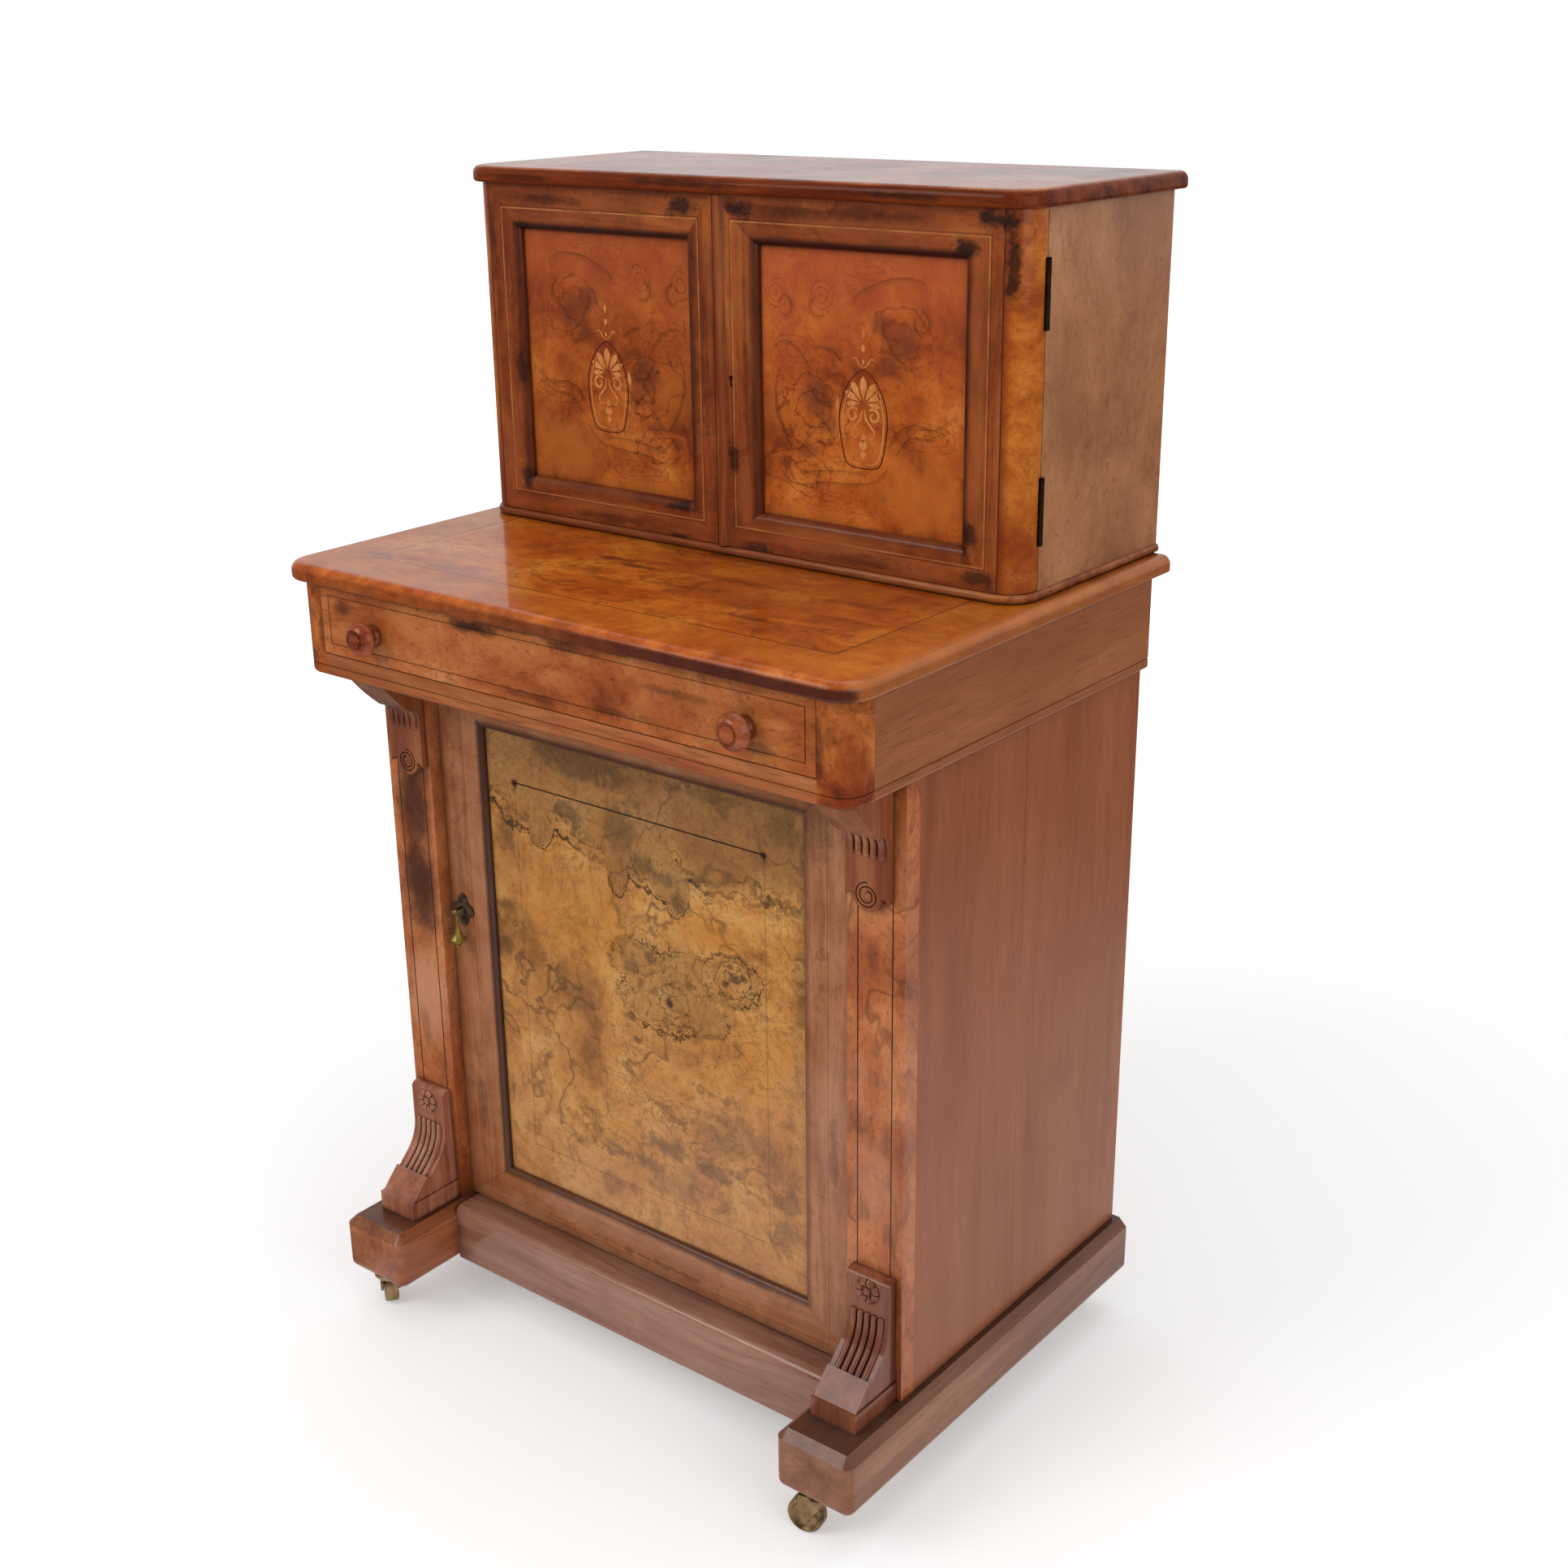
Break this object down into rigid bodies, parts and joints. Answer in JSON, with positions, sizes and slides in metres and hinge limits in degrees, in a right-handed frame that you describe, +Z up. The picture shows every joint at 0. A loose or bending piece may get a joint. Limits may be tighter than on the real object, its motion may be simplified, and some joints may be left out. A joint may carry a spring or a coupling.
{
  "type": "writing cabinet",
  "caption": "Davenport-type walnut writing cabinet: cupboard top with two inlaid doors, frieze drawer with turned knobs, carved brackets, panelled cupboard base on castors.",
  "frame": {"origin": "on the floor under the castors, midway between the two sides and midway between the knob fronts and the back edge of the cabinet top", "axes": "+Z up, +Y towards the back, +X towards the sitter's right as seen facing the doors; the doors face -Y"},
  "size_m": [0.686, 0.54, 1.19],
  "materials": {
    "walnut_frame": "dark red-brown figured walnut, french polished",
    "walnut_solid": "plain straight-grained walnut sides, french polished",
    "walnut_top": "burr walnut veneer with crossbanding, high gloss french polish",
    "walnut_carved": "carved walnut, french polished",
    "crossband": "crossbanded walnut veneer, french polished",
    "burr_upper": "orange-brown burr walnut with marquetry inlay, french polished",
    "burr_lower": "golden-brown burr walnut with dark stringing, french polished",
    "interior_wood": "plain secondary wood, lightly waxed",
    "old_brass": "aged cast brass",
    "steel_brass": "darkened brass hinge metal"
  },
  "bodies": {
    "carcass": {"foot_left": "walnut_frame", "foot_right": "walnut_frame", "plinth_rail": "walnut_frame", "pilaster_left": "walnut_frame", "pilaster_right": "walnut_frame", "frieze_rail": "walnut_frame", "cabinet_base": "walnut_frame", "side_panel_left": "walnut_solid", "side_panel_right": "walnut_solid", "frieze_side_left": "walnut_solid", "frieze_side_right": "walnut_solid", "cabinet_side_left": "walnut_solid", "cabinet_side_right": "walnut_solid", "writing_top": "walnut_top", "cabinet_top": "walnut_top", "console_top_left": "walnut_carved", "console_top_right": "walnut_carved", "console_base_left": "walnut_carved", "console_base_right": "walnut_carved", "corner_block_left": "crossband", "corner_block_right": "crossband", "cupboard_floor": "interior_wood", "cupboard_back": "interior_wood", "cupboard_shelf": "interior_wood", "frieze_back": "interior_wood", "dust_board": "interior_wood", "drawer_guide_left": "interior_wood", "drawer_guide_right": "interior_wood", "cabinet_back": "interior_wood", "cabinet_shelf": "interior_wood", "castor_sockets": "old_brass", "butt_hinges_fixed": "steel_brass"},
    "drawer": {"drawer_front": "walnut_top", "drawer_side_left": "interior_wood", "drawer_side_right": "interior_wood", "drawer_bottom": "interior_wood", "drawer_back": "interior_wood", "knob_left": "walnut_frame", "knob_right": "walnut_frame"},
    "upper_door_left": {"upper_door_left_frame": "walnut_frame", "upper_door_left_panel": "burr_upper", "upper_door_left_hinges": "steel_brass"},
    "upper_door_right": {"upper_door_right_frame": "walnut_frame", "upper_door_right_panel": "burr_upper", "astragal": "walnut_frame", "upper_door_right_hinges": "steel_brass", "cabinet_lock": "steel_brass"},
    "lower_door": {"lower_door_frame": "walnut_frame", "lower_door_panel": "burr_lower", "lower_door_hinges": "steel_brass", "pull_plate": "old_brass"},
    "pull": {"pull_drop": "old_brass"},
    "castor_swivel_front_left": {"castor_horn_front_left": "old_brass"},
    "castor_roller_front_left": {"castor_wheel_front_left": "old_brass"},
    "castor_swivel_front_right": {"castor_horn_front_right": "old_brass"},
    "castor_roller_front_right": {"castor_wheel_front_right": "old_brass"},
    "castor_swivel_rear_left": {"castor_horn_rear_left": "old_brass"},
    "castor_roller_rear_left": {"castor_wheel_rear_left": "old_brass"},
    "castor_swivel_rear_right": {"castor_horn_rear_right": "old_brass"},
    "castor_roller_rear_right": {"castor_wheel_rear_right": "old_brass"}
  },
  "joints": [
    {"name": "drawer_slide", "type": "slide", "parent": "carcass", "child": "drawer", "axis": [0, -1, 0], "range_m": [0, 0.3]},
    {"name": "upper_door_left_hinge", "type": "hinge", "parent": "carcass", "child": "upper_door_left", "pos_m": [-0.3251, 0.0435, 1.011], "axis": [0, 0, -1], "range_deg": [0, 120]},
    {"name": "upper_door_right_hinge", "type": "hinge", "parent": "carcass", "child": "upper_door_right", "pos_m": [0.3251, 0.0435, 1.011], "axis": [0, 0, 1], "range_deg": [0, 120]},
    {"name": "lower_door_hinge", "type": "hinge", "parent": "carcass", "child": "lower_door", "pos_m": [0.26235, -0.1405, 0.42], "axis": [0, 0, 1], "range_deg": [0, 90]},
    {"name": "pull_swing", "type": "hinge", "parent": "lower_door", "child": "pull", "pos_m": [-0.244, -0.15, 0.457], "axis": [-1, 0, 0], "range_deg": [0, 80]},
    {"name": "castor_swivel_front_left_turn", "type": "hinge", "parent": "carcass", "child": "castor_swivel_front_left", "pos_m": [-0.297, -0.236, 0.045], "axis": [0, 0, 1], "continuous": true},
    {"name": "castor_roller_front_left_spin", "type": "hinge", "parent": "castor_swivel_front_left", "child": "castor_roller_front_left", "pos_m": [-0.31138, -0.22517, 0.018], "axis": [-0.6018, -0.7986, 0], "continuous": true},
    {"name": "castor_swivel_front_right_turn", "type": "hinge", "parent": "carcass", "child": "castor_swivel_front_right", "pos_m": [0.297, -0.236, 0.045], "axis": [0, 0, 1], "continuous": true},
    {"name": "castor_roller_front_right_spin", "type": "hinge", "parent": "castor_swivel_front_right", "child": "castor_roller_front_right", "pos_m": [0.27927, -0.23913, 0.018], "axis": [0.1736, -0.9848, 0], "continuous": true},
    {"name": "castor_swivel_rear_left_turn", "type": "hinge", "parent": "carcass", "child": "castor_swivel_rear_left", "pos_m": [-0.297, 0.214, 0.045], "axis": [0, 0, 1], "continuous": true},
    {"name": "castor_roller_rear_left_spin", "type": "hinge", "parent": "castor_swivel_rear_left", "child": "castor_roller_rear_left", "pos_m": [-0.288, 0.22959, 0.018], "axis": [-0.866, 0.5, 0], "continuous": true},
    {"name": "castor_swivel_rear_right_turn", "type": "hinge", "parent": "carcass", "child": "castor_swivel_rear_right", "pos_m": [0.297, 0.214, 0.045], "axis": [0, 0, 1], "continuous": true},
    {"name": "castor_roller_rear_right_spin", "type": "hinge", "parent": "castor_swivel_rear_right", "child": "castor_roller_rear_right", "pos_m": [0.28939, 0.23031, 0.018], "axis": [-0.9063, -0.4226, 0], "continuous": true}
  ]
}
